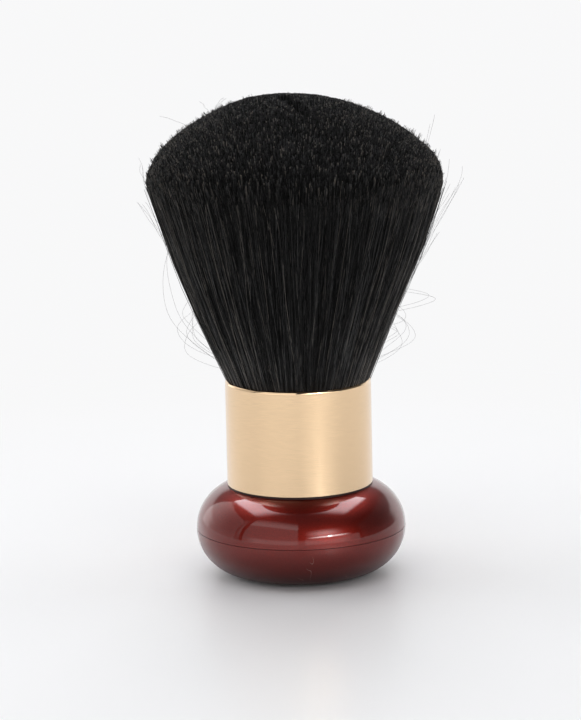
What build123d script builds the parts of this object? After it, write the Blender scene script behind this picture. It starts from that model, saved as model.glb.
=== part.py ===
"""Neck duster brush: a trimmed tuft of soft hair in a metal ferrule, standing on a weighted round base.

Millimetres, +Z up. The origin is the centre of the face that stands on the table, on the brush's axis.
From the table up: a foot pad, the bun-shaped base in two shells with a weight inside, a cup that one tie
screw draws down on the base, the ferrule pressed round the cup, and the hair potted in the cup.
"""

import os
from math import atan2, cos, degrees, radians, sin, sqrt

from build123d import *

os.makedirs("parts", exist_ok=True)

# ---------------------------------------------------------------- driving dimensions
# Base: a bun with a round section, moulded in two shells that meet at its widest circle
bun_radius = 31.1
bun_section_radius = 13.35  # of the bun's rounded side
bun_lift = 0.3  # from the table up to the bun's underside
shell_wall = 2.4
seam_gap = 0.15  # fine line that shows between the shells
tongue_height = 2.0  # lap joint inside the seam
tongue_inset = 1.2  # from the bun's skin in to the lap joint
tongue_root = 1.0  # how far the tongue runs down the lower shell's wall
deck_rib_count = 6
deck_rib_thickness = 1.6
deck_rib_depth = 5.0

# Foot pad, let into the base
pad_radius = 14.3
pad_thickness = 2.0
pad_edge_radius = 0.5

# Tie screw, M5 x 25 with a button head, and its washer
screw_radius = 2.5
screw_length = 25.0
screw_head_radius = 4.75
screw_head_height = 2.75
screw_head_fillet = 1.9
screw_key_width = 3.0  # across the flats of the hex socket
screw_key_depth = 1.6
screw_tip_chamfer = 0.6
washer_radius = 5.0
washer_thickness = 1.0
head_cover = 0.3  # from the pad up to the screw's head

# Weight, and the push-on ring that holds it down
ballast_thickness = 6.0
ballast_rim_gap = 2.5  # from the weight's edge to the shell
ballast_chamfer = 0.6
retainer_radius = 12.0
retainer_thickness = 0.6
retainer_slot_count = 6
retainer_slot_width = 1.2
retainer_slot_length = 2.2
column_wall = 2.0  # of the base's central column, round the screw's head and shank
column_shoulder_rise = 1.5  # from the retainer up to the column's shoulder

# Cup that holds the knot of hair, with a keyed spigot below and a threaded insert
flange_inset = 0.25  # from the ferrule's skin in to the flange's edge
flange_thickness = 0.7
cup_wall = 1.6
cup_floor = 2.4
cup_rim_height = 4.0  # from the binding up to the cup's rim
cup_rim_chamfer = 0.5
spigot_radius = 15.9
spigot_length = 5.0
socket_wall = 2.0
key_count = 3
key_width = 3.0
key_height = 1.1  # how far a key stands out of the spigot
boss_wall = 3.0  # round the insert
boss_cover = 1.6  # above the screw's tip
insert_radius = 3.5
insert_length = 8.0
knurl_count = 18
knurl_radius = 0.3

# Ferrule: a drawn tube with its upper edge rolled in
ferrule_radius = 21.6
ferrule_wall = 0.6
ferrule_height = 31.4
lip_bend_radius = 0.3  # inside the rolled edge
lip_land = 0.4  # short flat between the roll and the mouth
lip_edge_radius = 0.2  # on both edges of the mouth

# Knot: the resin that pots the roots, and the twine that binds them
resin_cover = 2.5  # above the boss
binding_lift = 1.2  # from the resin up to the twine
binding_turns = 3
twine_radius = 0.7

# Hair: the trimmed head above the ferrule
hair_spread = 1.2  # how far the hair opens over the ferrule's lip
head_length = 60.4  # from the ferrule's lip up to the widest circle
head_radius = 43.5
head_rim_radius = 9.2  # rounding between the flank and the dome
head_flank_angle = 17.5  # from upright, where the flank meets the rim
head_dome_height = 23.9  # above the widest circle

# Clearances
press_clearance = 0.02  # pressed or threaded
seat_clearance = 0.05
slide_clearance = 0.1
loose_clearance = 0.2
screw_clearance = 0.25
tip_clearance = 0.8  # past the screw's tip

# ---------------------------------------------------------------- worked-out sizes
ring_radius = bun_radius - bun_section_radius
bun_mid_z = bun_lift + bun_section_radius
cavity_section_radius = bun_section_radius - shell_wall
cavity_radius = bun_radius - shell_wall
tongue_radius = bun_radius - tongue_inset


def bun_z(section_radius, radius):
    """Height of the upper side of the bun's round section at a radius."""
    return bun_mid_z + sqrt(section_radius**2 - (radius - ring_radius) ** 2)


def bun_r(section_radius, z):
    """Outer radius of the bun's round section at a height."""
    return ring_radius + sqrt(section_radius**2 - (z - bun_mid_z) ** 2)


recess_radius = pad_radius + loose_clearance
floor_z = pad_thickness + shell_wall
head_z = pad_thickness + head_cover
washer_z = head_z + screw_head_height
screw_seat_z = washer_z + washer_thickness
screw_tip_z = washer_z + screw_length
screw_hole_radius = screw_radius + screw_clearance

counterbore_radius = washer_radius + loose_clearance
column_radius = counterbore_radius + column_wall
neck_radius = screw_hole_radius + column_wall
ballast_radius = bun_r(cavity_section_radius, floor_z) - ballast_rim_gap
retainer_z = floor_z + ballast_thickness
column_shoulder_z = retainer_z + retainer_thickness + column_shoulder_rise

deck_z = bun_z(bun_section_radius, ferrule_radius)
deck_underside_z = deck_z - shell_wall
spigot_z = deck_z - spigot_length
socket_radius = spigot_radius + slide_clearance
column_top_z = spigot_z - loose_clearance

ferrule_z = deck_z + flange_thickness
ferrule_top_z = ferrule_z + ferrule_height
ferrule_bore = ferrule_radius - ferrule_wall
lip_radius = lip_bend_radius + ferrule_wall
mouth_radius = ferrule_radius - lip_radius - lip_land

cup_radius = ferrule_bore - seat_clearance
cup_bore = cup_radius - cup_wall
cup_floor_z = ferrule_z + cup_floor
boss_radius = insert_radius + boss_wall
insert_z = spigot_z + loose_clearance
insert_top_z = insert_z + insert_length
relief_top_z = max(screw_tip_z, insert_top_z) + tip_clearance
boss_top_z = relief_top_z + boss_cover

knot_radius = cup_bore - slide_clearance
knot_z = boss_top_z + resin_cover
twine_pitch = 2 * twine_radius + seat_clearance
twine_ring_radius = knot_radius - seat_clearance - twine_radius
binding_z = knot_z + binding_lift
binding_top_z = binding_z + 2 * twine_radius + (binding_turns - 1) * twine_pitch
cup_top_z = binding_top_z + cup_rim_height

head_widest_z = ferrule_top_z + head_length
brush_height = head_widest_z + head_dome_height

# ---------------------------------------------------------------- shared profiles


def bun_slice(section_radius, low_z, high_z):
    """Half section of the bun between two heights, from the axis out to its rounded side."""
    with BuildSketch(Plane.XZ) as half:
        with Locations((ring_radius, bun_mid_z)):
            Circle(section_radius)
        with Locations((0, bun_mid_z)):
            Rectangle(ring_radius, 2 * section_radius, align=(Align.MIN, Align.CENTER))
        with Locations((0, low_z)):
            Rectangle(bun_radius, high_z - low_z, align=Align.MIN, mode=Mode.INTERSECT)
    return half.sketch


def keyed_disc(base_z, radius, key_reach, width):
    """Disc with keys that stand out of its edge, for the spigot and for its socket."""
    with BuildSketch(Plane.XY.offset(base_z)) as disc:
        Circle(radius)
        with PolarLocations(0, key_count):
            Rectangle(key_reach, width, align=(Align.MIN, Align.CENTER))
    return disc.sketch


# ---------------------------------------------------------------- foot pad
with BuildPart() as foot_pad:
    with BuildSketch(Plane.XY):
        Circle(pad_radius)
    extrude(amount=pad_thickness)
    fillet(foot_pad.edges().sort_by(Axis.Z)[0], pad_edge_radius)

foot_pad.part.label = "foot_pad"
export_step(foot_pad.part, "parts/foot_pad.step")

# ---------------------------------------------------------------- lower shell
with BuildPart() as lower_shell:
    revolve(bun_slice(bun_section_radius, bun_lift, bun_mid_z), axis=Axis.Z)
    revolve(bun_slice(cavity_section_radius, floor_z, bun_mid_z), axis=Axis.Z, mode=Mode.SUBTRACT)
    # tongue of the lap joint
    with BuildSketch(Plane.XY.offset(bun_mid_z - tongue_root)):
        Circle(tongue_radius)
        Circle(cavity_radius, mode=Mode.SUBTRACT)
    extrude(amount=tongue_root + tongue_height)
    # central column with its neck
    with BuildSketch(Plane.XY.offset(floor_z)):
        Circle(column_radius)
    extrude(amount=column_shoulder_z - floor_z)
    with BuildSketch(Plane.XY.offset(floor_z)):
        Circle(neck_radius)
    extrude(amount=column_top_z - floor_z)
    # recess for the pad, then the screw's counterbored hole
    with BuildSketch(Plane.XY):
        Circle(recess_radius)
    extrude(amount=pad_thickness, mode=Mode.SUBTRACT)
    with Locations(Plane(origin=(0, 0, pad_thickness), z_dir=(0, 0, -1)).location):
        CounterBoreHole(screw_hole_radius, counterbore_radius, screw_seat_z - pad_thickness)

lower_shell.part.label = "lower_shell"
export_step(lower_shell.part, "parts/lower_shell.step")

# ---------------------------------------------------------------- upper shell
rib_planes = [
    Plane(origin=(0, 0, 0), x_dir=(cos(turn), sin(turn), 0), z_dir=(sin(turn), -cos(turn), 0))
    for turn in [radians(360 * (i + 0.5) / deck_rib_count) for i in range(deck_rib_count)]
]
rib_reach_z = deck_underside_z + shell_wall / 2

with BuildPart() as upper_shell:
    revolve(bun_slice(bun_section_radius, bun_mid_z + seam_gap, deck_z), axis=Axis.Z)
    revolve(bun_slice(cavity_section_radius, bun_mid_z, deck_underside_z), axis=Axis.Z, mode=Mode.SUBTRACT)
    # rebate that takes the lower shell's tongue
    with BuildSketch(Plane.XY.offset(bun_mid_z)):
        Circle(tongue_radius + slide_clearance)
    extrude(amount=tongue_height, mode=Mode.SUBTRACT)
    # collar round the spigot, and ribs from it out to the wall
    with BuildSketch(Plane.XY.offset(spigot_z)):
        Circle(socket_radius + socket_wall)
    extrude(amount=rib_reach_z - spigot_z)
    with BuildSketch(*rib_planes):
        with Locations((ring_radius, bun_mid_z)):
            Circle(bun_section_radius - shell_wall / 2)
        with Locations((socket_radius, rib_reach_z)):
            Rectangle(
                bun_radius,
                deck_rib_depth + shell_wall / 2,
                align=(Align.MIN, Align.MAX),
                mode=Mode.INTERSECT,
            )
    extrude(amount=deck_rib_thickness / 2, both=True)
    # keyed hole for the spigot
    key_reach = spigot_radius + key_height + slide_clearance
    keyway_width = key_width + 2 * slide_clearance
    extrude(
        keyed_disc(bun_mid_z, socket_radius, key_reach, keyway_width),
        amount=deck_z - bun_mid_z,
        mode=Mode.SUBTRACT,
    )

upper_shell.part.label = "upper_shell"
export_step(upper_shell.part, "parts/upper_shell.step")

# ---------------------------------------------------------------- weight
with BuildPart() as ballast_weight:
    with BuildSketch(Plane.XY.offset(floor_z)):
        Circle(ballast_radius)
        Circle(column_radius + loose_clearance, mode=Mode.SUBTRACT)
    extrude(amount=ballast_thickness)
    rim_edges = ballast_weight.edges().filter_by(GeomType.CIRCLE).group_by(SortBy.RADIUS)[-1]
    chamfer(rim_edges, ballast_chamfer)

ballast_weight.part.label = "ballast_weight"
export_step(ballast_weight.part, "parts/ballast_weight.step")

# ---------------------------------------------------------------- push-on ring over the weight
with BuildPart() as ballast_retainer:
    with BuildSketch(Plane.XY.offset(retainer_z)):
        Circle(retainer_radius)
        with PolarLocations(0, retainer_slot_count):
            Rectangle(
                column_radius + retainer_slot_length,
                retainer_slot_width,
                align=(Align.MIN, Align.CENTER),
                mode=Mode.SUBTRACT,
            )
        Circle(column_radius + press_clearance, mode=Mode.SUBTRACT)
    extrude(amount=retainer_thickness)

ballast_retainer.part.label = "ballast_retainer"
export_step(ballast_retainer.part, "parts/ballast_retainer.step")

# ---------------------------------------------------------------- tie screw and washer
with BuildPart() as tie_screw:
    with BuildSketch(Plane.XY.offset(head_z)):
        Circle(screw_head_radius)
    extrude(amount=screw_head_height)
    fillet(tie_screw.edges().sort_by(Axis.Z)[0], screw_head_fillet)
    with BuildSketch(Plane.XY.offset(washer_z)):
        Circle(screw_radius)
    extrude(amount=screw_length)
    chamfer(tie_screw.edges().sort_by(Axis.Z)[-1], screw_tip_chamfer)
    with BuildSketch(Plane.XY.offset(head_z)):
        RegularPolygon(screw_key_width / 2, 6, major_radius=False)
    extrude(amount=screw_key_depth, mode=Mode.SUBTRACT)

tie_screw.part.label = "tie_screw"
export_step(tie_screw.part, "parts/tie_screw.step")

with BuildPart() as screw_washer:
    with BuildSketch(Plane.XY.offset(washer_z)):
        Circle(washer_radius)
        Circle(screw_hole_radius - slide_clearance, mode=Mode.SUBTRACT)
    extrude(amount=washer_thickness)

screw_washer.part.label = "screw_washer"
export_step(screw_washer.part, "parts/screw_washer.step")

# ---------------------------------------------------------------- cup with its spigot and insert
with BuildPart() as knot_cup:
    # hollow spigot with its keys
    extrude(
        keyed_disc(spigot_z, spigot_radius, spigot_radius + key_height, key_width),
        amount=spigot_length,
    )
    with BuildSketch(Plane.XY.offset(spigot_z)):
        Circle(spigot_radius - cup_wall)
    extrude(amount=spigot_length, mode=Mode.SUBTRACT)
    # flange between the base and the ferrule
    with BuildSketch(Plane.XY.offset(deck_z)):
        Circle(ferrule_radius - flange_inset)
    extrude(amount=flange_thickness)
    # body and bore
    with BuildSketch(Plane.XY.offset(ferrule_z)):
        Circle(cup_radius)
    extrude(amount=cup_top_z - ferrule_z)
    with BuildSketch(Plane.XY.offset(cup_floor_z)):
        Circle(cup_bore)
    extrude(amount=cup_top_z - cup_floor_z, mode=Mode.SUBTRACT)
    rim_circles = knot_cup.edges().filter_by(GeomType.CIRCLE).group_by(Axis.Z)[-1]
    chamfer(rim_circles.sort_by(SortBy.RADIUS)[0], cup_rim_chamfer)
    # boss for the insert, with a relief for the screw's tip
    with BuildSketch(Plane.XY.offset(spigot_z)):
        Circle(boss_radius)
    extrude(amount=boss_top_z - spigot_z)
    with BuildSketch(Plane.XY.offset(spigot_z)):
        Circle(insert_radius + press_clearance)
    extrude(amount=insert_top_z - spigot_z, mode=Mode.SUBTRACT)
    with BuildSketch(Plane.XY.offset(spigot_z)):
        Circle(screw_hole_radius)
    extrude(amount=relief_top_z - spigot_z, mode=Mode.SUBTRACT)

knot_cup.part.label = "knot_cup"
export_step(knot_cup.part, "parts/knot_cup.step")

with BuildPart() as threaded_insert:
    with BuildSketch(Plane.XY.offset(insert_z)):
        Circle(insert_radius)
        with PolarLocations(insert_radius, knurl_count):
            Circle(knurl_radius, mode=Mode.SUBTRACT)
        Circle(screw_radius + press_clearance, mode=Mode.SUBTRACT)
    extrude(amount=insert_length)

threaded_insert.part.label = "threaded_insert"
export_step(threaded_insert.part, "parts/threaded_insert.step")

# ---------------------------------------------------------------- ferrule
with BuildPart() as ferrule:
    with BuildSketch(Plane.XZ) as ferrule_section:
        with BuildLine():
            skin = Line((ferrule_radius, ferrule_z), (ferrule_radius, ferrule_top_z - lip_radius))
            roll = JernArc(skin @ 1, skin % 1, lip_radius, 90)
            land = Line(roll @ 1, (mouth_radius, ferrule_top_z))
            mouth = Line(land @ 1, (mouth_radius, ferrule_top_z - ferrule_wall))
            back = Line(mouth @ 1, (mouth_radius + lip_land, ferrule_top_z - ferrule_wall))
            bend = JernArc(back @ 1, back % 1, lip_bend_radius, -90)
            bore = Line(bend @ 1, (ferrule_bore, ferrule_z))
            Line(bore @ 1, skin @ 0)
        make_face()
        fillet(ferrule_section.vertices().group_by(Axis.X)[0], lip_edge_radius)
    revolve(axis=Axis.Z)

ferrule.part.label = "ferrule"
export_step(ferrule.part, "parts/ferrule.step")

# ---------------------------------------------------------------- resin and twine at the roots
with BuildPart() as root_resin:
    with BuildSketch(Plane.XY.offset(cup_floor_z)):
        Circle(knot_radius)
    extrude(amount=knot_z - cup_floor_z)
    with BuildSketch(Plane.XY.offset(cup_floor_z)):
        Circle(boss_radius + seat_clearance)
    extrude(amount=boss_top_z - cup_floor_z, mode=Mode.SUBTRACT)

root_resin.part.label = "root_resin"
export_step(root_resin.part, "parts/root_resin.step")

with BuildPart() as root_binding:
    turn_heights = [binding_z + twine_radius + i * twine_pitch for i in range(binding_turns)]
    with Locations([(0, 0, height) for height in turn_heights]):
        Torus(twine_ring_radius, twine_radius)

root_binding.part.label = "root_binding"
export_step(root_binding.part, "parts/root_binding.step")

# ---------------------------------------------------------------- hair
waist_radius = twine_ring_radius - twine_radius - seat_clearance
waist_z = binding_z - seat_clearance
waist_top_z = binding_top_z + seat_clearance
hair_mouth_radius = mouth_radius - slide_clearance

# the dome's sphere passes through the crown and rounds into the rim
rim_centre_radius = head_radius - head_rim_radius
dome_radius = (rim_centre_radius**2 + head_dome_height**2 - head_rim_radius**2) / (
    2 * (head_dome_height - head_rim_radius)
)
dome_centre_z = brush_height - dome_radius
rim_top_angle = degrees(atan2(head_widest_z - dome_centre_z, rim_centre_radius))

with BuildPart() as hair_tuft:
    with BuildSketch(Plane.XZ):
        with BuildLine():
            roots = Polyline(
                (0, knot_z),
                (knot_radius, knot_z),
                (knot_radius, waist_z),
                (waist_radius, waist_z),
                (waist_radius, waist_top_z),
                (knot_radius, waist_top_z),
                (knot_radius, cup_top_z),
                (hair_mouth_radius, ferrule_top_z - ferrule_wall),
                (hair_mouth_radius, ferrule_top_z),
                (hair_mouth_radius + hair_spread, ferrule_top_z + hair_spread),
            )
            rim = CenterArc(
                (rim_centre_radius, head_widest_z),
                head_rim_radius,
                -head_flank_angle,
                rim_top_angle + head_flank_angle,
            )
            dome = CenterArc((0, dome_centre_z), dome_radius, rim_top_angle, 90 - rim_top_angle)
            flank_lean = (-sin(radians(head_flank_angle)), -cos(radians(head_flank_angle)))
            TangentArc(rim @ 0, roots @ 1, tangent=flank_lean)
            Line(dome @ 1, roots @ 0)
        make_face()
    revolve(axis=Axis.Z)

hair_tuft.part.label = "hair_tuft"
export_step(hair_tuft.part, "parts/hair_tuft.step")

print("brush height", round(brush_height, 2), "dome radius", round(dome_radius, 2))
print("seat on the base", round(deck_z, 2), "ferrule", round(ferrule_z, 2), "to", round(ferrule_top_z, 2))
print("screw tip", round(screw_tip_z, 2), "insert top", round(insert_top_z, 2), "cup rim", round(cup_top_z, 2))
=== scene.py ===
# %% [markdown]
# # Dressing a neck duster
# A neck duster stands on a barber's shelf and sweeps cut hair off a neck. This one has a weighted,
# lacquered base, a gold-coloured metal ferrule and a big domed tuft of soft black hair.
# The solids come ready made, so this lesson is about surfaces: it loads them, sets up a small
# studio, then gives each piece its finish and grows the hair.

# %% Load the solids
import math

import bpy
import numpy as np
from mathutils import Matrix, Vector


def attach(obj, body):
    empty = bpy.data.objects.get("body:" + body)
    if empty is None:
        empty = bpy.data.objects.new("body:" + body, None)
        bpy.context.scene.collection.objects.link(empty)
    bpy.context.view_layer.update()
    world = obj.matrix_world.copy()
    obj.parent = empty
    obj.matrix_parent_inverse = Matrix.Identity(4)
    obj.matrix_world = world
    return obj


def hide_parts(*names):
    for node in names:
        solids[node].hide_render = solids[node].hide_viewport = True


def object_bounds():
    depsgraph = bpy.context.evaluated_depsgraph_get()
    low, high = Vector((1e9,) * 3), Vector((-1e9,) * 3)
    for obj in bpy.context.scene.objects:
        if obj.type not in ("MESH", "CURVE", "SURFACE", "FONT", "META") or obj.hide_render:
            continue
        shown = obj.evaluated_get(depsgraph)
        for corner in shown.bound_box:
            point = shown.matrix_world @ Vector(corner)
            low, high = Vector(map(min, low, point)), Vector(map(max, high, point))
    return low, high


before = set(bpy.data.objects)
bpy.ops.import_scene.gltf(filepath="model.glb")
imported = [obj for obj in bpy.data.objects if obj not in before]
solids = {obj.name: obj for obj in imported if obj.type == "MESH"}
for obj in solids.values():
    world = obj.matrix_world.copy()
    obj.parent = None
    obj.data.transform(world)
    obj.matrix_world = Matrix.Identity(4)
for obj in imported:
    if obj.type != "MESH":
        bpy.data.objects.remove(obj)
cad_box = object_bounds()
MM = 0.001
print("solids:", ", ".join(sorted(solids)))

# %% [markdown]
# ## The eye
# Small products are shot with a long lens from about a metre, which keeps the round base from
# bulging. The camera looks slightly down at the brush, and it is tipped by a degree or so, as
# a hand-levelled tripod leaves it. It aims a little under the middle of the brush.

# %% Camera
EYE_DISTANCE = 1.0
EYE_ABOVE = math.radians(11.2)
EYE_TIP = math.radians(-1.29)
EYE_LENS = 169.4
OFF_MIDDLE = Vector((-2.05, 0, -7.7)) * MM

aim = (cad_box[0] + cad_box[1]) / 2 + OFF_MIDDLE
toward_eye = Vector((0, -math.cos(EYE_ABOVE), math.sin(EYE_ABOVE)))
eye = bpy.data.objects.new("eye", bpy.data.cameras.new("eye"))
bpy.context.scene.collection.objects.link(eye)
eye.data.lens = EYE_LENS
eye.data.clip_start = 0.05
turn = toward_eye.to_track_quat("Z", "Y").to_matrix() @ Matrix.Rotation(EYE_TIP, 3, "Z")
eye.matrix_world = Matrix.Translation(aim + toward_eye * EYE_DISTANCE) @ turn.to_4x4()
bpy.context.scene.camera = eye
bpy.context.scene.view_settings.view_transform = "Standard"
print("eye at", [round(c, 3) for c in eye.matrix_world.translation])

# %% [markdown]
# ## Nodes in two lines
# Every finish below is a small tree of shader nodes. A few helpers keep them short: they start a
# material with its Principled shader, add a node and fill in its values, join sockets two by
# two, lay a colour ramp over a value, and multiply two colours.

# %% Helpers for finishes
def new_finish(name, **values):
    """A node material whose Principled shader has these values."""
    finish = bpy.data.materials.new(name)
    finish.use_nodes = True
    shader = finish.node_tree.nodes["Principled BSDF"]
    fill(shader, values)
    return finish.node_tree, shader


def fill(node, values):
    for key, value in values.items():
        node.inputs[key.replace("_", " ")].default_value = value


def add(tree, kind, settings=(), **values):
    """Adds a shader node, with its settings and the values of its inputs."""
    node = tree.nodes.new("ShaderNode" + kind)
    for key, value in dict(settings).items():
        setattr(node, key, value)
    fill(node, values)
    return node


def join(tree, *ends):
    """Joins pairs of sockets: from, to, from, to."""
    for start, end in zip(ends[::2], ends[1::2]):
        tree.links.new(start, end)


def ramp(tree, source, *stops):
    """A colour ramp over source, with stops of (place, colour)."""
    node = add(tree, "ValToRGB")
    steps = node.color_ramp.elements
    while len(steps) < len(stops):
        steps.new(0.5)
    for step, (place, colour) in zip(steps, stops):
        step.position = place
        step.color = (*colour, 1)
    join(tree, source, node.inputs[0])
    return node.outputs[0]


def multiply(tree, one, two):
    """The product of two colours."""
    node = add(tree, "Mix", {"data_type": "RGBA", "blend_type": "MULTIPLY"}, Factor=1)
    join(tree, one, node.inputs["A"], two, node.inputs["B"])
    return node.outputs["Result"]


# %% [markdown]
# ## The table
# The brush stands on a pale, faintly glossy sweep. A plain disc does for it. Near the brush the
# disc is ordinary lit material, so that it takes the shadow. Further off it fades to a plain
# white that the lamps don't reach. A white background stays white that way, and the brush isn't
# flooded with light. Only the eye and mirrored rays see that white, so it lights nothing.

# %% Table
SWEEP_RADIUS = 6.0
SWEEP_CORNERS = 180
FADE_FROM, FADE_TO = 0.05, 0.3

corner = np.linspace(0, 2 * np.pi, SWEEP_CORNERS, endpoint=False)
ring = np.stack([np.cos(corner), np.sin(corner), 0 * corner], axis=1) * SWEEP_RADIUS
table_mesh = bpy.data.meshes.new("table")
table_mesh.from_pydata(ring.tolist(), [], [list(range(SWEEP_CORNERS))])
table = bpy.data.objects.new("table", table_mesh)
bpy.context.scene.collection.objects.link(table)

tree, shader = new_finish("sweep", Base_Color=(0.88, 0.885, 0.9, 1), Roughness=0.34,
                          Specular_IOR_Level=0.28)
place = add(tree, "TexCoord").outputs["Object"]
reach = add(tree, "VectorMath", {"operation": "LENGTH"})
fade = add(tree, "MapRange", {"interpolation_type": "SMOOTHSTEP"}, From_Min=FADE_FROM,
           From_Max=FADE_TO)
rays = add(tree, "LightPath")
mirrored = add(tree, "Math", {"operation": "MAXIMUM"})
seen = add(tree, "Math", {"operation": "MAXIMUM"})
white = add(tree, "Emission", Color=(0.94, 0.94, 0.945, 1))
share = add(tree, "Math", {"operation": "MULTIPLY"})
both = add(tree, "MixShader")
join(tree, place, reach.inputs[0], reach.outputs["Value"], fade.inputs["Value"],
     rays.outputs["Is Glossy Ray"], mirrored.inputs[0],
     rays.outputs["Is Transmission Ray"], mirrored.inputs[1],
     rays.outputs["Is Camera Ray"], seen.inputs[0], mirrored.outputs[0], seen.inputs[1],
     fade.outputs[0], share.inputs[0], seen.outputs[0], share.inputs[1],
     share.outputs[0], both.inputs[0], shader.outputs[0], both.inputs[1],
     white.outputs[0], both.inputs[2], both.outputs[0], tree.nodes["Material Output"].inputs[0])
table_mesh.materials.append(bpy.data.materials["sweep"])
print(f"table: lit to {FADE_FROM} m from the brush, plain white from {FADE_TO} m")

# %% [markdown]
# ## The room
# A glossy base is a mirror: what stands round it matters more than its own colour. Down at the
# horizon the room is white, like the far end of the sweep, and higher up and far out to either
# side it falls away to dark. Two colour ramps over a ray's direction do it, one for height and
# one for side, and their product is the room's colour.

# %% Room
room = bpy.data.worlds.new("room")
room.use_nodes = True
bpy.context.scene.world = room
tree = room.node_tree
backdrop = tree.nodes["Background"]
heading = add(tree, "TexCoord").outputs["Generated"]
toward = add(tree, "SeparateXYZ")
behind = add(tree, "MapRange", From_Min=0.3, From_Max=0.9, To_Max=-0.18)
height = add(tree, "Math", {"operation": "ADD"})
across = add(tree, "MapRange", From_Min=-1.0)
join(tree, heading, toward.inputs[0], toward.outputs["Y"], behind.inputs["Value"],
     toward.outputs["Z"], height.inputs[0], behind.outputs[0], height.inputs[1],
     toward.outputs["X"], across.inputs["Value"])
walls = ramp(tree, height.outputs[0], (0.12, (0.95, 0.95, 0.955)), (0.20, (0.04, 0.035, 0.035)),
             (0.6, (0.04, 0.04, 0.04)), (0.9, (0.1, 0.1, 0.105)))
sides = ramp(tree, across.outputs[0], (0.05, (0.1, 0.1, 0.1)), (0.11, (1, 1, 1)), (0.86, (1, 1, 1)),
             (0.92, (0.04, 0.04, 0.04)))
join(tree, multiply(tree, walls, sides), backdrop.inputs["Color"])
print("room:", len(tree.nodes), "nodes")

# %% [markdown]
# ## How a lamp is made
# A studio's lamps are bright sheets, so every lamp here is a rectangular area lamp. Its
# brightness is set so that 1 is white: the power is pi times the area times that. A real
# diffuser dims towards its edges. A lamp can do so too, when its own shader lets the strength
# fade in from the sheet's edges.

# %% Helpers for lamps
def hang_lamp(name, placing, width, height, glow, tint=(1, 1, 1)):
    """A rectangular lamp that shines along the placing's -Z, and looks as bright as glow."""
    lamp = bpy.data.objects.new(name, bpy.data.lights.new(name, "AREA"))
    lamp.data.shape = "RECTANGLE"
    lamp.data.size, lamp.data.size_y = width, height
    lamp.data.energy = math.pi * width * height * glow
    lamp.data.color = tint
    lamp.matrix_world = placing
    bpy.context.scene.collection.objects.link(lamp)
    return lamp


def stand_panel(name, facing, left, right, low, high, glow, distance=1.0):
    """An upright panel, from angle left to right and from height low to high. Angles are in
    degrees, 0 at the front and 90 at the right."""
    a = math.radians(facing)
    out = Vector((math.sin(a), -math.cos(a), 0))
    side = Vector((0, 0, 1)).cross(out)
    ends = [distance * math.tan(math.radians(x - facing)) for x in (left, right)]
    spot = out * distance + side * sum(ends) / 2 + Vector((0, 0, (low + high) / 2))
    placing = Matrix.Translation(spot) @ Matrix((side, (0, 0, 1), out)).transposed().to_4x4()
    return hang_lamp(name, placing, ends[1] - ends[0], high - low, glow)


def soften(lamp, left=0.0, right=0.0, low=0.0, high=0.0):
    """Fades a lamp in from its edges, over these shares of its width and height."""
    lamp.data.use_nodes = True
    tree = lamp.data.node_tree
    place = add(tree, "SeparateXYZ")
    join(tree, add(tree, "NewGeometry").outputs["Parametric"], place.inputs[0])
    glow = tree.nodes["Emission"].inputs["Strength"]
    edges = (("X", 0, left), ("X", 1, 1 - right), ("Y", 0, low), ("Y", 1, 1 - high))
    last = None
    for axis, edge, inner in edges:
        if edge == inner:
            continue
        fade = add(tree, "MapRange", {"interpolation_type": "SMOOTHSTEP"}, From_Min=edge, From_Max=inner)
        join(tree, place.outputs[axis], fade.inputs["Value"])
        if last:
            product = add(tree, "Math", {"operation": "MULTIPLY"})
            join(tree, last, product.inputs[0], fade.outputs[0], product.inputs[1])
        last = product.outputs[0] if last else fade.outputs[0]
    join(tree, last, glow)
    return lamp


# %% [markdown]
# ## The lamps
# One big soft box hangs overhead, a little behind the brush. Its mirror image makes the bright
# patches on the base, and the image is far brighter than the even light that the brush stands
# in. So the two jobs are split: `visible_glossy` off gives a lamp that lights but isn't
# mirrored, and `visible_diffuse` off one that is mirrored and hardly lights. A sheet over the
# front and tall fills at the left, right and back keep the shadow soft. Upright boards stand
# round the front and the sides, as a real studio's boards do, and a dark one keeps the base's
# right edge deep. A bare bulb and a tube, with an umbrella behind them, stand front right and
# draw the bright line on the base.

# %% Lamps
BOX_SIZE = (1.31, 1.07)
BOX_LIGHT, BOX_SHINE = 0.6, 6.1
FILL_HALF = 28

box_place = Matrix.Translation((-0.015, 0.315, 0.9))
box = hang_lamp("soft_box", box_place, *BOX_SIZE, BOX_LIGHT, (1, 0.99, 1))
box.visible_glossy = False
just_under = Matrix.Translation((0, 0, -0.01)) @ box_place
shine = hang_lamp("soft_box_shine", just_under, *BOX_SIZE, BOX_SHINE, (0.93, 0.95, 1))
shine.visible_diffuse = False
soften(shine, 0.08, 0.08, 0.3)
over_front = Matrix.Translation((0, -0.7, 1.2)) @ Matrix.Rotation(math.radians(-30), 4, "X")
hang_lamp("front_top", over_front, 1.6, 1.0, 1.25).visible_glossy = False
for name, facing, glow in (("left_fill", -102, 1.6), ("right_fill", 104, 1.5), ("back_fill", 180, 3.6)):
    fill_lamp = stand_panel(name, facing, facing - FILL_HALF, facing + FILL_HALF, 0.1, 0.9, glow)
    fill_lamp.visible_glossy = False

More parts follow.
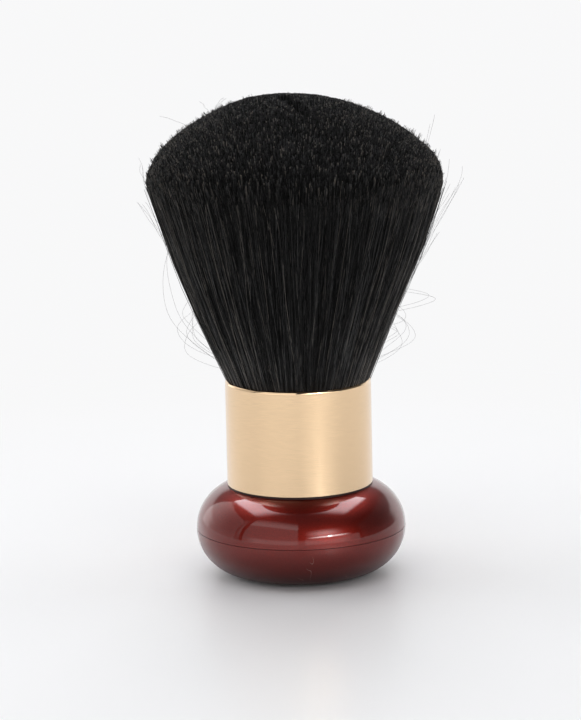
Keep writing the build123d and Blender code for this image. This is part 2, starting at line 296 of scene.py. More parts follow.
stand_panel("left_board", -36, -67, -4, 0.0, 0.84, 0.75)
band = stand_panel("left_band", -36, -67, -4, 0.84, 1.6, 1.75)
band.visible_diffuse = False
soften(band, high=0.9)
soften(stand_panel("left_strip", -73.5, -75, -72, 0.05, 0.8, 0.4), low=0.3, high=0.3)
stand_panel("gap_board", -76, -80, -72, 0.0, 0.93, 0.36, distance=1.02)
stand_panel("side_board", -110, -142, -79, 0.0, 0.93, 0.6)
soften(stand_panel("side_glow", -118, -142, -92, 0.0, 0.93, 0.7, distance=0.98), right=1.0, low=0.5)
stand_panel("right_board", 34, 4, 66, 0.0, 0.27, 0.9)
stand_panel("right_shade", 108, 70, 146, 0.0, 0.7, 0.1).visible_diffuse = False
soften(stand_panel("tube_lamp", 31, 4, 58, 0.26, 0.37, 18.0), 0.4, 0.4, 0.5, 0.5).visible_diffuse = False
soften(stand_panel("umbrella", 27, 2, 52, 0.28, 0.78, 4.6, distance=1.02), 0.5, 0.5, 0.4, 0.6)
stand_panel("bulb", 31.5, 29, 34, 0.28, 0.35, 34.0, distance=0.98).visible_diffuse = False

# %% [markdown]
# ## Grain, relief and dressing
# Nothing real is quite even, so every finish starts from a grain: noise in the solid's own
# space, which needs no map laid over it. The grain tints the colour, and a bump node turns it
# into relief. Each material is then put on its solids in place of the plain one.

# %% Helpers for surfaces
def dress(nodes, finish):
    """Gives solids a finish in place of the plain one that they came with."""
    for node in nodes:
        solids[node].data.materials.clear()
        solids[node].data.materials.append(bpy.data.materials[finish])
    print(finish, "on", ", ".join(nodes))


def emboss(tree, shader, height, depth, *sockets):
    """Raises the surface by depth where height is 1."""
    bump = add(tree, "Bump", Distance=depth)
    join(tree, height, bump.inputs["Height"])
    for socket in sockets or ("Normal",):
        join(tree, bump.outputs[0], shader.inputs[socket])


def grain(tree, place, scale, detail=2.0, stretch=(1, 1, 1), distortion=0.0):
    """Noise that is scale patches to the metre, drawn out or squeezed by stretch."""
    spot = add(tree, "Mapping", Scale=stretch)
    noise = add(tree, "TexNoise", Scale=scale, Detail=detail, Distortion=distortion)
    join(tree, place, spot.inputs["Vector"], spot.outputs[0], noise.inputs["Vector"])
    return noise.outputs["Fac"]


# %% [markdown]
# ## The lacquered base
# The two halves of the base are moulded, sprayed with a deep red pearl colour and cleared. Light
# does two things there: it glints sharply off the clear coat, and it glows back through the
# pearl underneath. One Principled shader does both, with tiny flakes from a Voronoi texture in
# the pearl. A slow noise bends the clear coat by a few thousandths of a millimetre, as sprayed
# lacquer always is, and a second, sharper one leaves a few hairline scratches. Towards the
# underside the pearl colour is darkened, which is painted shade, and the clear coat thins.

# %% Base
SHADE_AND_THIN_BELOW, FULL_ABOVE = 2 * MM, 13.5 * MM
FLAKES_PER_METRE = 5500.0

tree, shader = new_finish("maroon_pearl", Metallic=1.0, Roughness=0.43, Coat_Weight=1.0,
                          Coat_Roughness=0.055, Coat_IOR=1.45)
place = add(tree, "TexCoord").outputs["Object"]
flakes = add(tree, "TexVoronoi", Scale=FLAKES_PER_METRE)
join(tree, place, flakes.inputs["Vector"])
pearl = ramp(tree, flakes.outputs["Color"], (0.0, (0.115, 0.009, 0.006)), (1.0, (0.19, 0.015, 0.010)))
line = ramp(tree, grain(tree, place, 60.0, 1.0, (1, 1, 0.35), 2.0), (0.497, (0, 0, 0)), (0.5, (1, 1, 1)),
            (0.503, (0, 0, 0)))
spot = ramp(tree, grain(tree, place, 110.0, 0.0), (0.66, (0, 0, 0)), (0.7, (1, 1, 1)))
scratch = multiply(tree, line, spot)
tall = add(tree, "SeparateXYZ")
# The first map range darkens the pearl colour towards the underside: painted shade. The second thins the
# clear coat there.
painted_shade_below, gloss = (add(tree, "MapRange", From_Min=SHADE_AND_THIN_BELOW, From_Max=FULL_ABOVE, To_Min=least)
               for least in (0.4, 0.2))
join(tree, place, tall.inputs[0], tall.outputs["Z"], painted_shade_below.inputs["Value"],
     tall.outputs["Z"], gloss.inputs["Value"], gloss.outputs[0], shader.inputs["Coat Weight"])
worn = add(tree, "Mix", {"data_type": "RGBA"}, B=(0.36, 0.19, 0.17, 1))
join(tree, scratch, worn.inputs["Factor"], multiply(tree, pearl, painted_shade_below.outputs[0]), worn.inputs["A"],
     worn.outputs["Result"], shader.inputs["Base Color"])
emboss(tree, shader, grain(tree, place, 160.0, 1.0), 0.006 * MM, "Coat Normal")
dress(("lower_shell", "upper_shell"), "maroon_pearl")

# %% [markdown]
# ## The ferrule
# The ferrule is a drawn aluminium ring, dyed champagne gold. Fine lines run round it, and noise
# squeezed along the axis draws them. They spread a reflection a little more up and down than
# from side to side, which the shader's anisotropy adds. The ring is satin, under a thin clear
# skin, but its rolled upper edge has been burnished: roughness drops there with the height, so
# the edge catches a thin, hard line of light.

# %% Ferrule
SATIN, BURNISHED = 0.26, 0.06
BURNISH_FROM, BURNISH_TO = 1.5 * MM, 0.8 * MM  # below the upper edge

tree, shader = new_finish("champagne_gold", Metallic=1.0, Roughness=SATIN, Anisotropic=0.12,
                          Anisotropic_Rotation=0.25, Coat_Weight=0.5, Coat_Roughness=0.12)
place = add(tree, "TexCoord").outputs["Object"]
lines = grain(tree, place, 300.0, 3.0, (1, 1, 40))
tone = ramp(tree, lines, (0.35, (0.78, 0.56, 0.345)), (0.65, (0.84, 0.61, 0.38)))
join(tree, tone, shader.inputs["Base Color"])
emboss(tree, shader, lines, 0.0008 * MM)
edge = max(corner[2] for corner in solids["ferrule"].bound_box)
tall = add(tree, "SeparateXYZ")
burnish = add(tree, "MapRange", From_Min=edge - BURNISH_FROM, From_Max=edge - BURNISH_TO,
              To_Min=SATIN, To_Max=BURNISHED)
join(tree, place, tall.inputs[0], tall.outputs["Z"], burnish.inputs["Value"],
     burnish.outputs[0], shader.inputs["Roughness"])
round_axis = add(tree, "Tangent", {"direction_type": "RADIAL", "axis": "Z"})
join(tree, round_axis.outputs[0], shader.inputs["Tangent"])
dress(("ferrule",), "champagne_gold")

# %% [markdown]
# ## The cup under the ferrule
# The knot of hair stands in a cup of dark red-brown plastic, whose thin flange shows as a dark
# line between ferrule and base. Its near-black colour also paints the shadow in that gap.
# Injection moulding leaves it slightly grained.

# %% Knot cup
tree, shader = new_finish("dark_maroon_plastic", Roughness=0.42, Specular_IOR_Level=0.3)
place = add(tree, "TexCoord").outputs["Object"]
mould = grain(tree, place, 2600.0)
# Near-black colour: the plastic's own, and also painted shadow in the gap under the ferrule.
join(tree, ramp(tree, mould, (0.3, (0.018, 0.003, 0.002)), (0.7, (0.032, 0.006, 0.003))),
     shader.inputs["Base Color"])
emboss(tree, shader, mould, 0.01 * MM)
dress(("knot_cup",), "dark_maroon_plastic")

# %% [markdown]
# ## Underneath
# A pad of black closed-cell foam keeps the brush from sliding. Its skin is cut through the
# bubbles, and Voronoi cells are just that: rounded pits that meet in thin walls.

# %% Foot pad
tree, shader = new_finish("black_foam", Roughness=0.95, Specular_IOR_Level=0.2)
place = add(tree, "TexCoord").outputs["Object"]
bubbles = add(tree, "TexVoronoi", Scale=2200.0)
join(tree, place, bubbles.inputs["Vector"])
pits = bubbles.outputs["Distance"]
join(tree, ramp(tree, pits, (0.1, (0.012, 0.012, 0.012)), (0.6, (0.045, 0.045, 0.046))),
     shader.inputs["Base Color"])
emboss(tree, shader, pits, 0.12 * MM)
dress(("foot_pad",), "black_foam")

# %% [markdown]
# ## Metal inside
# The weight is a rough iron casting with a bloom of rust. The ring that holds it down is spring
# steel, blackened with phosphate. The screw and washer are zinc plated, which shimmers from
# bluish to straw. The insert is turned brass, with the lathe's fine rings. They differ in
# colour, in gloss and in the size of the grain, so one helper makes all four from those.

# %% Metals
def metal(name, roughness, scale, stretch, depth, *tones):
    """A bare or plated metal: its tones follow a grain, which also stands in relief."""
    tree, shader = new_finish(name, Metallic=1.0, Roughness=roughness)
    place = add(tree, "TexCoord").outputs["Object"]
    coarse = grain(tree, place, scale, 3.0, stretch)
    join(tree, ramp(tree, coarse, *tones), shader.inputs["Base Color"])
    emboss(tree, shader, coarse, depth)


metal("cast_iron", 0.72, 700.0, (1, 1, 1), 0.25 * MM,
      (0.38, (0.16, 0.16, 0.17)), (0.6, (0.25, 0.245, 0.24)), (0.72, (0.26, 0.12, 0.06)))
metal("phosphated_steel", 0.5, 3500.0, (1, 1, 1), 0.01 * MM,
      (0.35, (0.16, 0.165, 0.17)), (0.65, (0.30, 0.30, 0.305)))
metal("zinc_plate", 0.3, 220.0, (1, 1, 1), 0.004 * MM,
      (0.35, (0.52, 0.56, 0.64)), (0.5, (0.64, 0.64, 0.64)), (0.65, (0.68, 0.64, 0.54)))
metal("turned_brass", 0.26, 250.0, (1, 1, 30), 0.006 * MM,
      (0.35, (0.74, 0.56, 0.27)), (0.65, (0.83, 0.66, 0.36)))
dress(("ballast_weight",), "cast_iron")
dress(("ballast_retainer",), "phosphated_steel")
dress(("tie_screw", "screw_washer"), "zinc_plate")
dress(("threaded_insert",), "turned_brass")

# %% [markdown]
# ## The knot's root
# Waxed twine is wound round the roots of the hair, and resin is poured in to lock them. The resin
# sets to a cloudy amber that light goes a little way into. Twine is two plies twisted together,
# so slanting bands run round it.

# %% Resin and twine
tree, shader = new_finish("amber_resin", Roughness=0.18, IOR=1.55, Transmission_Weight=0.35)
place = add(tree, "TexCoord").outputs["Object"]
clouds = grain(tree, place, 350.0, 4.0)
join(tree, ramp(tree, clouds, (0.35, (0.30, 0.17, 0.06)), (0.65, (0.48, 0.33, 0.15))),
     shader.inputs["Base Color"])
emboss(tree, shader, clouds, 0.02 * MM)
dress(("root_resin",), "amber_resin")

tree, shader = new_finish("waxed_twine", Roughness=0.6, Sheen_Weight=0.2)
place = add(tree, "TexCoord").outputs["Object"]
twist = add(tree, "TexWave", {"bands_direction": "DIAGONAL"}, Scale=420.0, Distortion=1.5)
join(tree, place, twist.inputs["Vector"])
join(tree, ramp(tree, twist.outputs["Fac"], (0.1, (0.45, 0.38, 0.27)), (0.7, (0.80, 0.74, 0.62))),
     shader.inputs["Base Color"])
emboss(tree, shader, twist.outputs["Fac"], 0.15 * MM)
dress(("root_binding",), "waxed_twine")

# %% [markdown]
# ## The shape of the tuft
# The tuft's solid has the right outline, but it is one smooth lump. Its hairs have to fill the
# same outline, so the first step is to measure it.

# %% Measure the tuft
def turned_outline(solid):
    """Heights and radii along the outer line of a turned solid, lowest first."""
    points = np.array([v.co for v in solid.data.vertices])
    heights = np.round(points[:, 2], 6)
    radii = np.hypot(points[:, 0], points[:, 1])
    levels = np.unique(heights)
    return levels, np.array([radii[heights == level].max() for level in levels])


levels, radii = turned_outline(solids["hair_tuft"])
lip = turned_outline(solids["ferrule"])[0][-1]
root, crown_top = lip - 2 * MM, levels[-1]
widest = levels[radii.argmax()]
rim_start = widest - 4 * MM
run = 6 * MM
lean = (np.interp(rim_start, levels, radii) - np.interp(rim_start - run, levels, radii)) / run
print(f"hair from {lip / MM:.1f} to {crown_top / MM:.1f} mm, widest {radii.max() / MM:.1f} mm "
      f"at {widest / MM:.1f} mm, outer hairs lean {math.degrees(math.atan(lean)):.1f} degrees")


def outer_radius(height):
    """Radius of an outermost hair's line, which runs straight on where the rim curves in."""
    straight = np.interp(rim_start, levels, radii) + lean * (height - rim_start)
    return np.where(height < rim_start, np.interp(height, levels, radii), straight)


crown = np.linspace(rim_start, crown_top, 800)
share_left = np.interp(crown, levels, radii) / outer_radius(crown)


def tip_height(share):
    """Height at which a hair of this share of the tuft's width meets the trimmed outline."""
    return np.interp(share, share_left[::-1], crown[::-1])


def on_hair(share, angle, height):
    """Points on hairs: how far out in the tuft, which way round, and how high."""
    radius = share * outer_radius(height)
    return np.stack([radius * np.cos(angle), radius * np.sin(angle), height], axis=-1)


# %% [markdown]
# ## A handled tuft
# The solid is turned, so it is as true as a lathe makes it. Hair that has been handled isn't:
# this tuft bulges on the right, is tucked in under the rim on the left, and its crown sinks to
# the right. Near the top the hair parts in a short crooked line. One rule moves every point of
# every hair, so they stay in step.

# %% Settle the tuft
FLANK_MARKS = (0.02, 0.27, 0.44, 0.62, 0.82, 0.90, 0.98, 1.06, 1.14)  # 0 at the lip, 1 where it is widest
RIGHT_SWELL = np.array((0.3, -0.5, 0, 0.6, 0.55, 0.7, 0.2, -0.4, -0.4)) * MM
LEFT_SWELL = np.array((-0.1, 0.1, 0.05, 0.05, -0.4, -0.4, -0.2, -1.2, -0.3)) * MM
CROWN_MARKS = (-1, -0.5, -0.3, 0, 0.5, 1)  # across the tuft, left rim to right rim
CROWN_RISE = np.array((-0.2, 0, 0.35, -0.2, -0.65, -0.3)) * MM
PARTING = np.array([(-2.6, -3.5), (-1.6, -7.4), (-0.9, -9.8),
                    (1.2, -11.4), (2.2, -14.2), (4.0, -17.6)]) * MM
PARTING_WIDTH, PARTING_DEPTH = 1.15 * MM, 3.0 * MM


def settle(points):
    """The points moved as handling has moved the hair."""
    radius = np.maximum(np.hypot(points[..., 0], points[..., 1]), 1e-6)
    right = points[..., 0] / radius
    mark = (points[..., 2] - lip) / (widest - lip)
    swell = (np.maximum(right, 0) * np.interp(mark, FLANK_MARKS, RIGHT_SWELL)
             + np.maximum(-right, 0) * np.interp(mark, FLANK_MARKS, LEFT_SWELL))
    moved = points * 1
    moved[..., :2] *= (1 + swell / outer_radius(points[..., 2]))[..., None]
    rise = np.interp(points[..., 0] / radii.max(), CROWN_MARKS, CROWN_RISE)
    moved[..., 2] += rise * np.clip((mark - 0.75) / 0.4, 0, 1)
    return moved


def parting_at(points):
    """How strongly each point feels the parting, from 0 to 1."""
    near = np.full(points.shape[:-1], np.inf)
    for start, end in zip(PARTING[:-1], PARTING[1:]):
        along = end - start
        way = np.clip((points[..., :2] - start) @ along / (along @ along), 0, 1)
        near = np.minimum(near, np.linalg.norm(points[..., :2] - start - way[..., None] * along, axis=-1))
    return np.exp(-(near / PARTING_WIDTH) ** 2)


parting_length = np.linalg.norm(np.diff(PARTING, axis=0), axis=1).sum()
print(f"parting: {parting_length / MM:.1f} mm long")

# %% [markdown]
# ## From lines to hairs
# A hair is a long thin tube with three sides, closed at both ends. One helper wraps such tubes
# round many lines at once with numpy. It also lays out a map: across is the hair's tone, up is
# the way from root to tip, so one material can colour every hair a little differently.

# %% Helper for hairs
HAIR_SIDES = 3
MAP_STEP = 0.012


def grow(name, lines, thickness, tone, rng):
    """Closed tubes along lines (hairs, points, 3), with a radius at each point."""
    count, steps = lines.shape[:2]
    along = np.gradient(lines, axis=1)
    along /= np.linalg.norm(along, axis=2, keepdims=True)
    across = np.cross(along, rng.normal(size=(count, 1, 3)))
    across /= np.linalg.norm(across, axis=2, keepdims=True)
    other = np.cross(along, across)
    sides = np.arange(HAIR_SIDES)
    turn = 2 * np.pi * sides / HAIR_SIDES
    spokes = (across[:, :, None] * np.cos(turn)[:, None] + other[:, :, None] * np.sin(turn)[:, None])
    points = lines[:, :, None] + spokes * thickness[:, :, None, None]
    first = np.arange(count)[:, None, None] * steps * HAIR_SIDES
    ring = np.arange(steps - 1)[None, :, None] * HAIR_SIDES
    here, after = sides, (sides + 1) % HAIR_SIDES
    a, b = first + ring + here, first + ring + after
    walls = np.stack([a, b, b + HAIR_SIDES, a + HAIR_SIDES], axis=-1).reshape(-1, 4)
    root_ends = first[:, 0] + sides[::-1]
    tip_ends = first[:, 0] + (steps - 1) * HAIR_SIDES + sides
    ends = np.concatenate([root_ends, tip_ends])
    corners = np.concatenate([walls.ravel(), ends.ravel()])
    sizes = np.concatenate([np.full(len(walls), 4), np.full(len(ends), HAIR_SIDES)])
    mesh = bpy.data.meshes.new(name)
    mesh.vertices.add(points.size // 3)
    mesh.vertices.foreach_set("co", points.ravel())
    mesh.loops.add(len(corners))
    mesh.loops.foreach_set("vertex_index", corners)
    mesh.polygons.add(len(sizes))
    mesh.polygons.foreach_set("loop_start", np.cumsum(sizes) - sizes)
    mesh.polygons.foreach_set("use_smooth", sizes == 4)
    mesh.update(calc_edges=True)
    u = np.broadcast_to(tone[:, None, None] * 0.96 + sides * MAP_STEP, (count, steps, HAIR_SIDES))
    v = np.linspace(0.01, 0.97, steps)[None, :, None] + (sides == 1) * MAP_STEP
    v = np.broadcast_to(v, (count, steps, HAIR_SIDES))
    spots = np.stack([u, v], axis=-1).reshape(-1, 2)[corners]
    for layer in ("OFBake", "strand"):
        mesh.uv_layers.new(name=layer).data.foreach_set("uv", spots.ravel())
    mesh.materials.append(bpy.data.materials["black_hair"])
    piece = bpy.data.objects.new(name, mesh)
    bpy.context.scene.collection.objects.link(piece)
    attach(piece, "root")
    print(f"{name}: {count} hairs, {2 * HAIR_SIDES * (steps - 1) * count + 2 * count} triangles")


def grow_in_parts(name, parts, lines, thickness, tone, rng):
    """The same, in several pieces that stay under 200,000 triangles each."""
    for k, chosen in enumerate(np.array_split(np.arange(len(lines)), parts)):
        grow(f"{name}_{k + 1}", lines[chosen], thickness[chosen], tone[chosen], rng)


# %% [markdown]
# ## Black hair
# Black hair isn't all one black. Most of it is soot black, and here and there a hair is dark
# brown. The cut ends are painted paler, a painted highlight where they catch the light, and the
# part just above the ferrule is painted paler too, as painted light. Three things read from the
# map are multiplied: the hair's own tone, the way along it, and a noise stretched along the map,
# which makes each hair change its shade as it goes.

# %% Hair finish
tree, shader = new_finish("black_hair", Roughness=0.5, Specular_IOR_Level=0.09)
strand = add(tree, "UVMap", {"uv_map": "strand"})
parts = add(tree, "SeparateXYZ")
stretched = add(tree, "Mapping", Scale=(700.0, 28.0, 1.0))
patches = add(tree, "TexNoise", Scale=1.0, Detail=1.0)
join(tree, strand.outputs[0], parts.inputs[0], strand.outputs[0], stretched.inputs["Vector"],
     stretched.outputs[0], patches.inputs["Vector"])
shade = ramp(tree, parts.outputs["X"], (0.0, (0.001, 0.001, 0.001)), (0.35, (0.004, 0.004, 0.004)),
             (0.6, (0.015, 0.015, 0.015)), (0.85, (0.045, 0.045, 0.045)), (1.0, (0.10, 0.088, 0.075)))
# Along the hair: painted light near the ferrule and a painted highlight on the cut ends.
painted_light_along = ramp(tree, parts.outputs["Y"], (0.0, (2.5, 2.5, 2.5)), (0.45, (1.3, 1.3, 1.3)), (0.88, (1, 1, 1)),
           (0.98, (1.5, 1.5, 1.5)))
patchy = ramp(tree, patches.outputs["Fac"], (0.35, (0.3, 0.3, 0.3)), (0.65, (1.7, 1.7, 1.7)))
join(tree, multiply(tree, multiply(tree, shade, painted_light_along), patchy), shader.inputs["Base Color"])
print("black_hair:", len(tree.nodes), "nodes")

# %% [markdown]
# ## The crown
# The dome is the cut ends of tens of thousands of hairs. Only their last few millimetres show,
# so only those are made: small tufts of three hairs, spread evenly by the golden angle. Towards
# the rim they are painted a little paler at the left and right and darker at the front and back,
# which is painted side light.

# %% Crown
rng = np.random.default_rng(11)
TUFTS, PER_TUFT = 20000, 3
CROWN_DEPTH = 7 * MM
# Strength of the painted side light in the hair's tone.
PAINTED_SIDE_LIGHT = 0.08
TIPS_DOWN = 0.3 * MM
golden = math.pi * (3 - math.sqrt(5))
number = np.arange(TUFTS)
spread = np.sqrt(1 / TUFTS)
share = np.sqrt((number + 0.5) / TUFTS) * 0.965
share = np.abs(share + rng.normal(0, 0.35 * spread, TUFTS))
angle = number * golden + rng.normal(0, 0.35 * spread, TUFTS) / np.maximum(share, spread)
tuft_tone = rng.normal(0, 0.35, TUFTS)
tuft_reach = rng.normal(0, 0.09 * MM, TUFTS)
share, angle, tuft_tone, tuft_reach = (
    np.repeat(x, PER_TUFT) for x in (share, angle, tuft_tone, tuft_reach))
hairs = TUFTS * PER_TUFT
offset = rng.normal(0, 1, (hairs, 2))
steps = np.array([0.0, 0.7, 1.0])
gather = np.array([0.5, 0.36, 0.26]) * spread
shares = share[:, None] + offset[:, :1] * gather
angles = angle[:, None] + offset[:, 1:] * gather / np.maximum(share, spread)[:, None]
tip = tip_height(np.clip(shares[:, -1], 0, 0.99)) - TIPS_DOWN + tuft_reach + rng.normal(0, 0.07 * MM, hairs)
height = tip[:, None] - CROWN_DEPTH * (1 - steps)
lines = settle(on_hair(shares, angles, height))
parted = parting_at(lines[:, -1])
lines[..., 2] -= (PARTING_DEPTH * parted)[:, None]
thick = rng.uniform(0.10, 0.15, hairs)[:, None] * np.array([1, 1, 0.75]) * MM
# Painted side light: rim hairs paler at the left and right, darker at the front and back.
side_light = 4 * PAINTED_SIDE_LIGHT * np.maximum(np.cos(2 * angle), -0.4) * np.clip(share, 0, 1) ** 8
# The hairs in the parting are darkened by 0.8 times parted: painted shade in the crease.
tone = np.clip(0.38 + tuft_tone + rng.normal(0, 0.1, hairs) - 0.8 * parted + side_light, 0, 1)
grow_in_parts("crown_hair", 5, lines, thick, tone, rng)

# %% [markdown]
# ## The flank
# From the side, whole hairs show from the ferrule to the rim. They lie in loose locks, which dip
# and rise a little and cross each other. Their tips end all over the rounded rim. One hair in
# ten stands a little off the rest, so that the outline is soft and not cut with a knife.

# %% Flank
LOCKS, PER_LOCK, FLANK_STEPS = 2600, 6, 9
LOOSE_PART, STAND_OFF = 0.1, 0.007
lock_angle = (np.arange(LOCKS) + rng.uniform(-0.5, 0.5, LOCKS)) * 2 * np.pi / LOCKS
lock_share = 1.002 - 0.06 * rng.uniform(0, 1, LOCKS) ** 1.3
lock_tone = rng.normal(0, 0.1, LOCKS)
lock_stray = rng.normal(0, 0.022, LOCKS)
lock_sway = rng.normal(0, 0.008, LOCKS)
angle, share, lock_tone, lock_stray, lock_sway = (
    np.repeat(x, PER_LOCK) for x in (lock_angle, lock_share, lock_tone, lock_stray, lock_sway))
hairs = LOCKS * PER_LOCK
way = np.linspace(0, 1, FLANK_STEPS)
fan = rng.normal(0, 0.012, hairs)
stray = lock_stray + rng.normal(0, 1, hairs) * rng.choice((0.01, 0.045), hairs, p=(0.65, 0.35))
share = np.minimum(share + rng.normal(0, 0.005, hairs), 1.004)
loose = np.random.default_rng(12)
share += loose.exponential(STAND_OFF, hairs) * (loose.uniform(0, 1, hairs) < LOOSE_PART)
wave = rng.uniform(0, 2 * np.pi, (hairs, 2))
turns = rng.uniform(0.8, 2.2, hairs)[:, None]
short = np.abs(rng.normal(0, 1, hairs)) * rng.choice((0.8, 6.0), hairs, p=(0.5, 0.5)) * MM
tip = tip_height(np.clip(share, 0.9, 0.9985)) - TIPS_DOWN - short
height = root + (tip[:, None] - root) * way
angles = (angle[:, None] + fan[:, None] * (1 - 0.3 * way) + stray[:, None] * (way - 0.4) * 2
          + lock_sway[:, None] * np.sin(3 * np.pi * way + 200 * lock_stray[:, None])
          + 0.006 * np.sin(2 * np.pi * way * turns + wave[:, :1]) * way)
shares = share[:, None] + 0.006 * np.sin(2 * np.pi * way * turns + wave[:, 1:]) * np.sin(np.pi * way) ** 0.5
lines = settle(on_hair(shares, angles, height))
thick = rng.uniform(0.07, 0.11, hairs)[:, None] * np.interp(way, [0, 0.85, 1], [0.7, 1, 0.6]) * MM
# Painted side light: flank hairs paler at the left and right, darker at the front and back.
side_light = 1.7 * PAINTED_SIDE_LIGHT * np.cos(2 * angle)
tone = np.clip(0.56 + side_light + lock_tone + rng.normal(0, 0.28, hairs), 0, 0.95)
grow_in_parts("flank_hair", 5, lines, thick, tone, rng)

# %% [markdown]
# ## Ends that stick out
# Round the rim short hair ends stand off the tuft, which gives it a soft, spiky edge against
# the light. Their tone is painted paler than the rest, and paler still at the left and right:
# painted light for the light that comes through them.

# %% Rim ends
SPIKES, PER_SPIKE = 2600, 4
hairs = SPIKES * PER_SPIKE
angle = np.repeat(rng.uniform(0, 2 * np.pi, SPIKES), PER_SPIKE) + rng.normal(0, 0.003, hairs)
mark = np.repeat(rng.uniform(0.84, 1.33, SPIKES), PER_SPIKE) + rng.normal(0, 0.004, hairs)
out = np.repeat(np.abs(rng.normal(0, 0.55 * MM, SPIKES)), PER_SPIKE) * rng.uniform(0.6, 1, hairs)
slant = math.atan(lean) + np.repeat(np.abs(rng.normal(0, 0.22, SPIKES)), PER_SPIKE)
tip = lip + mark * (widest - lip)
back = rng.uniform(3, 6, hairs)[:, None] * MM * (1 - np.linspace(0, 1, 4)) - out[:, None]
radius = np.interp(tip, levels, radii)[:, None] - back * np.sin(slant)[:, None]
height = tip[:, None] - back * np.cos(slant)[:, None]
around = angle[:, None]
lines = settle(np.stack([radius * np.cos(around), radius * np.sin(around), height], axis=-1))
thick = rng.uniform(0.09, 0.13, hairs)[:, None] * np.array([1, 1, 0.8, 0.3]) * MM
# Tone 0.62 and the side term: painted light for light coming through the ends.
tone = np.clip(rng.normal(0.62, 0.25, hairs) + 3 * PAINTED_SIDE_LIGHT * np.cos(2 * angle), 0, 1)
grow_in_parts("rim_ends", 2, lines, thick, tone, rng)

# %% [markdown]
# ## Flyaways
# A few long hairs have worked loose. Wisps leave the flank at a slant and end in the air. Lower
# down others have sprung into loops that come back to it. Both start from a point of the
# outline, so a hair is told by where it leaves, where it ends and how far off it gets.

# %% Helper for loose hairs
FLYAWAY_STEPS = 28
WISPS = {"left": ((96, 113, 3.5), (93, 112, 5), (114, 122, 4.5), (134, 138, 15), (137, 141, 11)),
         "right": ((92, 113, 3.5), (88, 119, 6.5), (84, 114, 6), (79, 99, 4.5))}  # from, to, off, in mm
LOOPS = {"left": ((64, 99, 7.6), (65, 80, 5.4), (63, 78, 8.6), (68, 82, 4.2)),
         "right": ((79, 85, 12), (62, 77, 7), (61, 75, 9.5), (66, 72, 5))}


def loose_hair(start, end, off, loop, facing):
    """A hair that leaves the outline at one height and ends, or comes back, at another."""
    way = np.linspace(0, 1, FLYAWAY_STEPS)
    bend, sag = rng.normal(0, 0.35, 2)
    height = start + (end - start) * (way + 0.12 * bend * np.sin(np.pi * way))
    away = off * (np.sin(np.pi * way ** (1 + 0.4 * sag)) if loop else way ** 1.3)
    away = away + 0.35 * np.sin(2 * np.pi * (1.5 * way + bend)) * np.sin(np.pi * way)
    radius = np.interp(height * MM, levels, radii) + (away - 0.4) * MM
    turn = facing + 0.06 * rng.normal() * way
    return np.stack([radius * np.cos(turn), radius * np.sin(turn), height * MM], axis=1)


# %% [markdown]
# ## Which hairs are loose
# Most wisps and loops are at the left and right, where a hand strokes the brush. Twenty more
# are spread over the front and back, and short strays lie close along the flank all round.

# %% Flyaways
ROUND_ABOUT, STRAYS = 20, 90
FLYAWAY_RADIUS = 0.032 * MM

lines = []
for side, facing in (("left", math.pi), ("right", 0)):
    for loop, kinds in ((False, WISPS[side]), (True, LOOPS[side])):
        for start, end, off in kinds * 2:
            shift = rng.normal(0, 1.2)
            lines.append(loose_hair(start + shift, end + shift, off * rng.uniform(0.7, 1.1), loop,
                                    facing + rng.normal(0, 0.08)))
for facing in rng.uniform(0.15, 0.85, ROUND_ABOUT) * math.pi * rng.choice((-1, 1), ROUND_ABOUT):
    loop = rng.random() < 0.5
    start, end, off = (LOOPS if loop else WISPS)["right"][rng.integers(4)]
    lines.append(loose_hair(start + rng.normal(0, 2), end, off * rng.uniform(0.5, 1), loop, facing))
way = np.linspace(0, 1, FLYAWAY_STEPS)
start = rng.uniform(0.2, 0.85, STRAYS)
length = rng.uniform(8, 24, STRAYS) * MM
height = lip + start[:, None] * (widest - lip) + length[:, None] * way
shares = 0.99 + np.abs(rng.normal(0.014, 0.012, STRAYS))[:, None] * np.sin(0.75 * np.pi * way)
angles = rng.uniform(0, 2 * np.pi, STRAYS)[:, None] + rng.normal(0, 0.05, STRAYS)[:, None] * way
lines = settle(np.concatenate([np.array(lines), on_hair(shares, angles, height)]))
thick = np.full((len(lines), FLYAWAY_STEPS), FLYAWAY_RADIUS)
grow("flyaways", lines, thick, np.clip(rng.normal(0.4, 0.1, len(lines)), 0, 1), rng)

# %% [markdown]
# ## The dark heart
# Between the hairs there has to be more hair, however deep one looks. A closed dark body just
# under the surface stands for all of it. It is coloured darker than most hairs, which paints the
# shade deep in the tuft. Its rings are turned like the tuft and settled by the same rule, and
# together with the hairs it takes the place of the plain solid.

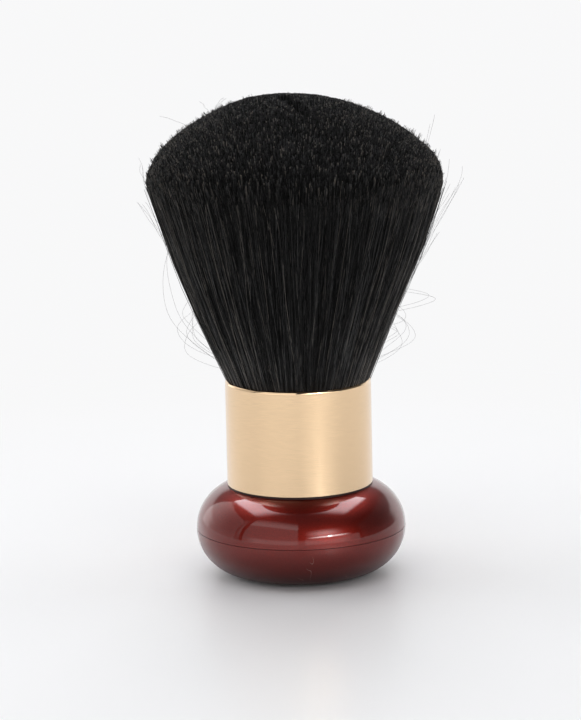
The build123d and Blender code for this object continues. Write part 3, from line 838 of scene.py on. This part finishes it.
# %% Heart
HEART_SHARE, HEART_DEPTH, HEART_SIDES = 0.958, 1.6 * MM, 96
rise = np.concatenate([np.linspace(levels[0], widest - 6 * MM, 24),
                       np.linspace(widest - 5 * MM, crown_top - HEART_DEPTH, 40)])
width = np.minimum(outer_radius(rise) * HEART_SHARE,
                   np.interp(rise + HEART_DEPTH, levels, radii) * HEART_SHARE)
turn = np.linspace(0, 2 * np.pi, HEART_SIDES, endpoint=False)
rings = np.stack([width[:-1, None] * np.cos(turn), width[:-1, None] * np.sin(turn),
                  np.repeat(rise[:-1, None], HEART_SIDES, axis=1)], axis=-1).reshape(-1, 3)
points = settle(np.concatenate([rings, [(0, 0, rise[-1]), (0, 0, rise[0])]]))
points[:, 2] -= PARTING_DEPTH * parting_at(points) * (points[:, 2] > widest)
top, bottom = len(points) - 2, len(points) - 1
faces = []
for level in range(len(rise) - 2):
    for k in range(HEART_SIDES):
        a, b = level * HEART_SIDES + k, level * HEART_SIDES + (k + 1) % HEART_SIDES
        faces.append((a, b, b + HEART_SIDES, a + HEART_SIDES))
last = (len(rise) - 2) * HEART_SIDES
for k in range(HEART_SIDES):
    faces.append((last + k, last + (k + 1) % HEART_SIDES, top))
    faces.append(((k + 1) % HEART_SIDES, k, bottom))
mesh = bpy.data.meshes.new("hair_heart")
mesh.from_pydata(points.tolist(), [], faces)
mesh.shade_smooth()
tree, shader = new_finish("deep_hair", Roughness=0.8, Specular_IOR_Level=0.05)
place = add(tree, "TexCoord").outputs["Object"]
depth = add(tree, "TexNoise", Scale=2500.0, Detail=2.0)
join(tree, place, depth.inputs["Vector"])
# Near-black colour: partly the black hair itself, partly painted shade deep in the tuft.
join(tree, ramp(tree, depth.outputs["Fac"], (0.3, (0.001, 0.001, 0.001)), (0.7, (0.004, 0.0036, 0.0034))),
     shader.inputs["Base Color"])
mesh.materials.append(bpy.data.materials["deep_hair"])
heart = bpy.data.objects.new("hair_heart", mesh)
bpy.context.scene.collection.objects.link(heart)
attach(heart, "root")
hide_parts("hair_tuft")
print("hair_heart:", len(faces), "faces")
